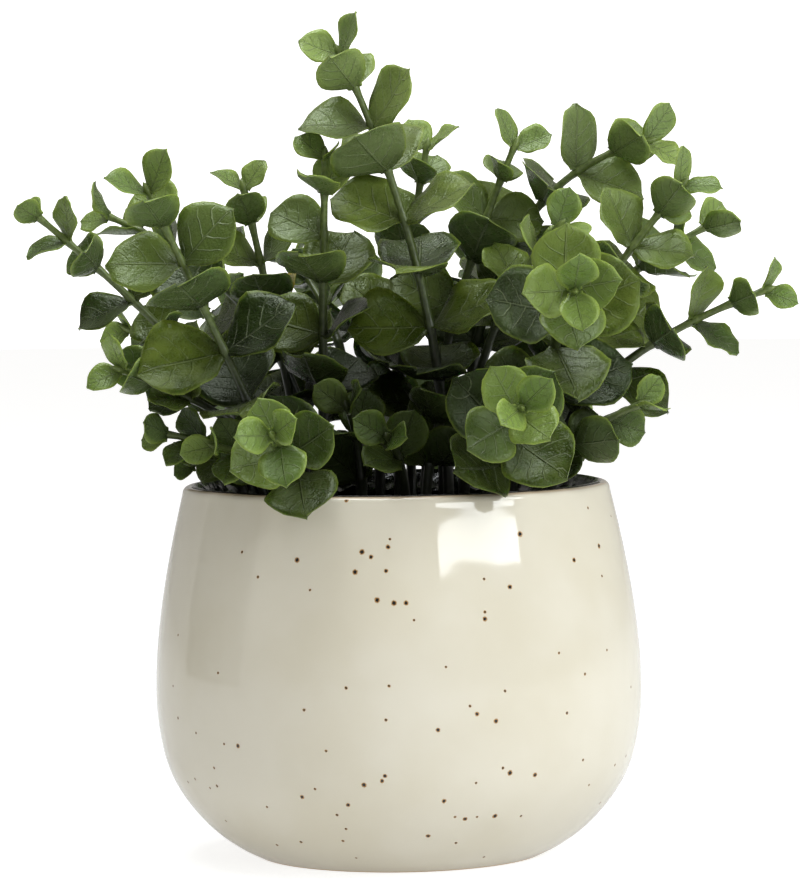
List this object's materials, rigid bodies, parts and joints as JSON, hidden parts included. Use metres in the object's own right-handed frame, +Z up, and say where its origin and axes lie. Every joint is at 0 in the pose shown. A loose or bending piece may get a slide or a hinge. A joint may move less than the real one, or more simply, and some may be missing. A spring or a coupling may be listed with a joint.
{
  "type": "potted eucalyptus plant",
  "caption": "Artificial eucalyptus with round paired leaves on bent stems, standing in the dark filling of a speckled, glazed, round-bellied pot.",
  "frame": {"origin": "centre of the pot's flat underside", "axes": "+Z up, along the pot's axis; -Y towards the front, where the two low open rosettes of leaves face the viewer; +X to the right seen from the front"},
  "size_m": [0.2384, 0.2174, 0.2577],
  "materials": {
    "glaze": "glossy cream glaze with scattered brown-black speckles",
    "film": "thin glossy crinkled film",
    "filling": "rough dark crumbly top",
    "foliage": "satin moulded leaves with raised veins, yellow-green at the tips"
  },
  "bodies": {
    "root": {"pot": "glaze", "film_liner": "film", "filling": "filling", "sprig_tallest": "foliage", "sprig_left_upper": "foliage", "sprig_left_inner": "foliage", "sprig_front_right_high": "foliage", "sprig_front_right_low": "foliage", "sprig_front_left_low": "foliage", "sprig_right_upper": "foliage", "sprig_far_right": "foliage", "sprig_far_left": "foliage", "sprig_right_arching": "foliage", "sprig_right_inner": "foliage", "sprig_left_behind": "foliage", "sprig_right_middle": "foliage", "sprig_right_low": "foliage", "sprig_front_low": "foliage", "sprig_left_low": "foliage", "sprig_left_low_front": "foliage", "sprig_left_middle": "foliage", "sprig_left_back": "foliage", "sprig_right_back": "foliage", "sprig_middle_back": "foliage", "sprig_left_side": "foliage", "sprig_left_rim": "foliage", "sprig_slender_back": "foliage", "sprig_front_middle": "foliage", "sprig_front_middle_left": "foliage", "sprig_back_left": "foliage", "sprig_back_left_inner": "foliage", "sprig_back_right_inner": "foliage", "sprig_back_right": "foliage", "sprig_back_left_low": "foliage", "sprig_back_low": "foliage", "sprig_back_right_low": "foliage"}
  },
  "joints": []
}
